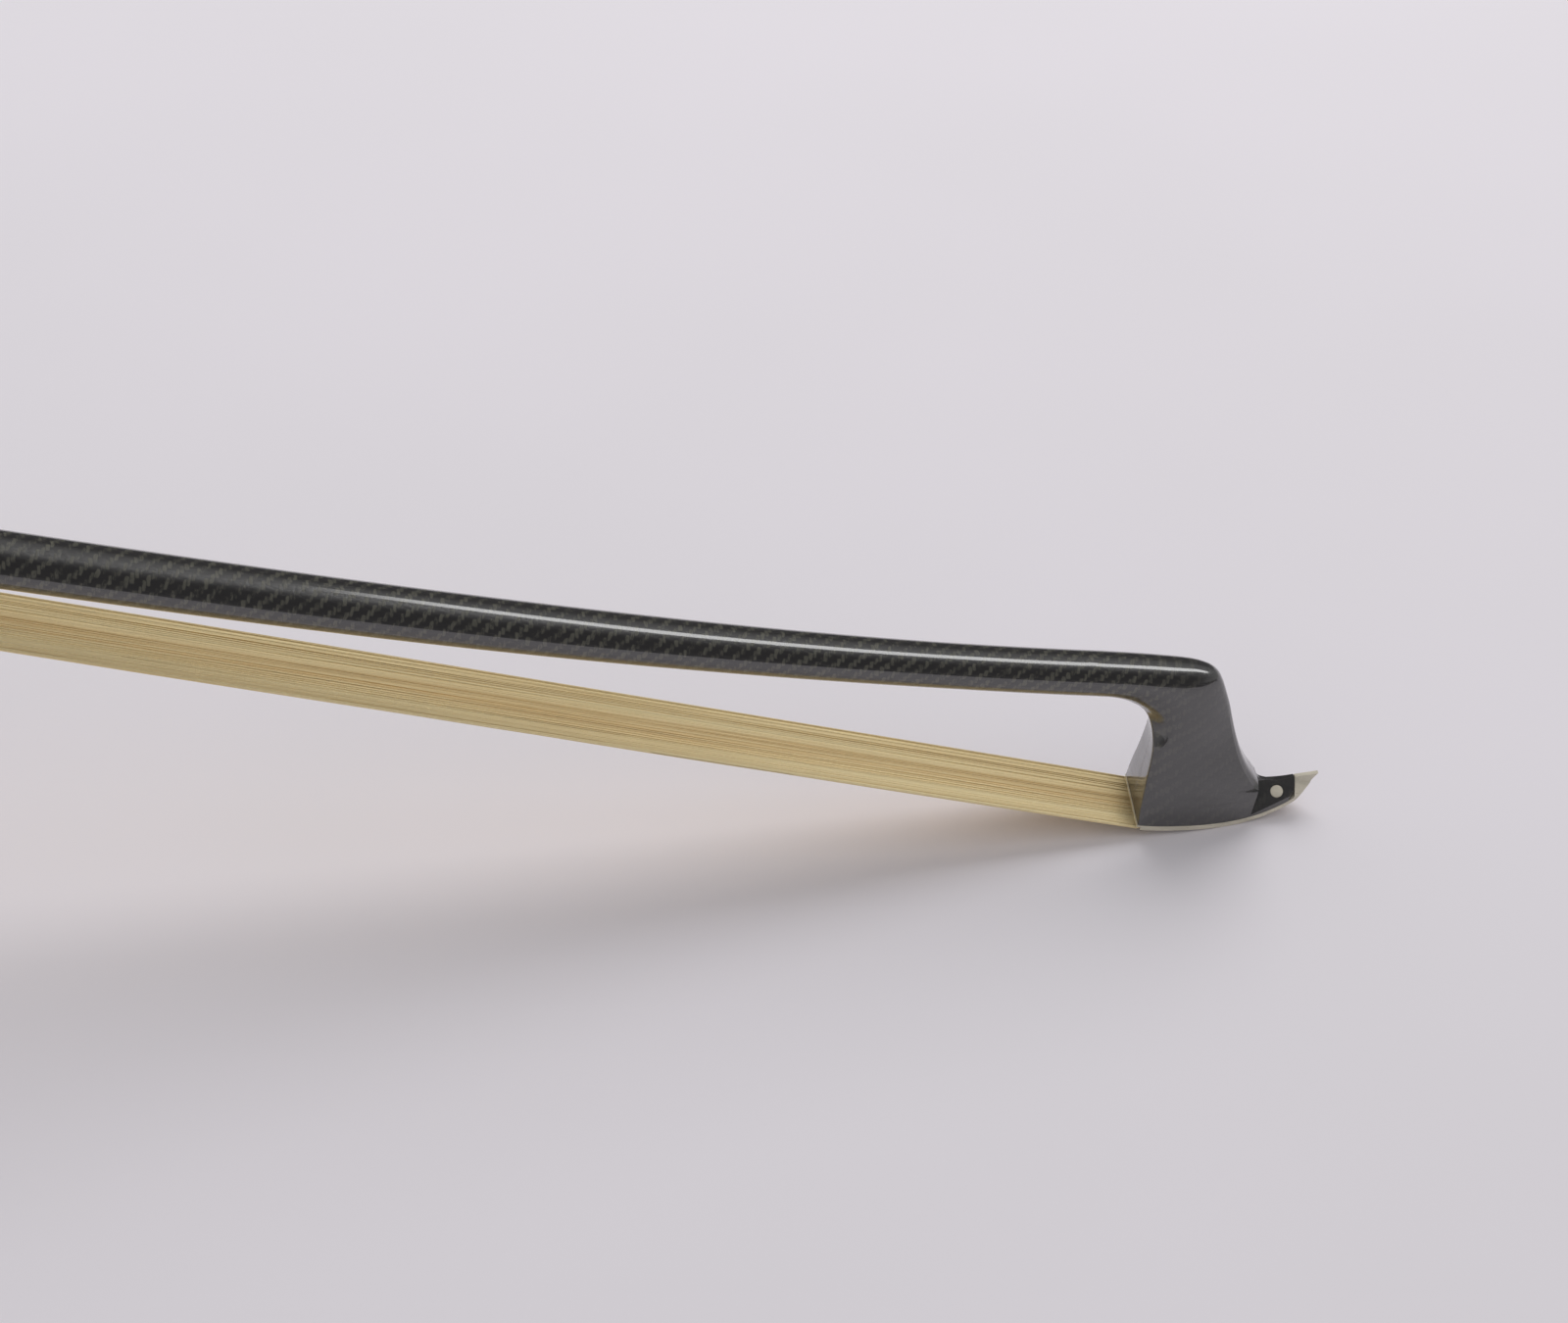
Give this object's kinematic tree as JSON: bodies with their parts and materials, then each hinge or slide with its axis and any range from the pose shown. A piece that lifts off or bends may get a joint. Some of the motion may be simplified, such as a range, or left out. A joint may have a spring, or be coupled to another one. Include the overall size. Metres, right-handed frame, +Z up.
{
  "type": "cello bow",
  "caption": "Cello bow with a round carbon stick and hatchet head, flat horsehair ribbon, sliding wooden frog, wound grip and adjusting button.",
  "frame": {"origin": "under the middle of the bow's length and width, on the surface it stands on", "axes": "+X along the bow to the nose of its head, +Y across it, +Z up from the hair to the stick"},
  "size_m": [0.7103, 0.0148, 0.0379],
  "materials": {
    "carbon": "woven carbon fibre under clear gloss",
    "bone": "polished cream bone",
    "hair": "natural blond horsehair",
    "boxwood": "bare pale wood",
    "ebony": "oiled and polished black wood",
    "nickel_silver": "polished nickel silver",
    "brass": "turned",
    "steel": "turned",
    "pearl": "mother of pearl",
    "leather": "black grained leather",
    "winding": "flat dark strip, satin"
  },
  "bodies": {
    "stick": {"stick": "carbon", "tip_plate": "bone", "nose_pin_left": "bone", "nose_pin_right": "bone", "tip_hair": "hair", "tip_hair_knot": "hair", "tip_plug": "boxwood", "hair_ribbon": "hair", "thumb_leather": "leather", "grip_winding": "winding", "winding_collar": "leather"},
    "frog": {"frog_body": "ebony", "ferrule": "nickel_silver", "spread_wedge": "boxwood", "frog_hair": "hair", "frog_hair_knot": "hair", "frog_plug": "boxwood", "slide": "ebony", "slide_pearl": "pearl", "heel_plate": "nickel_silver", "heel_pin_base": "nickel_silver", "heel_pin_rear": "nickel_silver", "underslide": "nickel_silver", "underslide_pin_front": "nickel_silver", "underslide_pin_rear": "nickel_silver", "eyelet": "brass", "pearl_eye_left": "pearl", "pearl_eye_right": "pearl", "eye_ring_left": "nickel_silver", "eye_ring_right": "nickel_silver"},
    "screw": {"adjuster_screw": "steel", "button_core": "ebony", "button_front_ring": "nickel_silver", "button_rear_ring": "nickel_silver", "button_pearl": "pearl"}
  },
  "joints": [
    {"name": "screw_turn", "type": "hinge", "parent": "stick", "child": "screw", "pos_m": [-0.3176, 0, 0.02975], "axis": [0.9959, 0, -0.09], "range_deg": [-1801, 1441]},
    {"name": "frog_slide", "type": "slide", "parent": "stick", "child": "frog", "axis": [0.9959, 0, -0.09], "range_m": [-0.0032, 0.004], "deforming": ["hair_ribbon"]}
  ],
  "couplings": [
    {"joint": "screw_turn", "follows": "frog_slide", "rad_per_m": -7854}
  ]
}
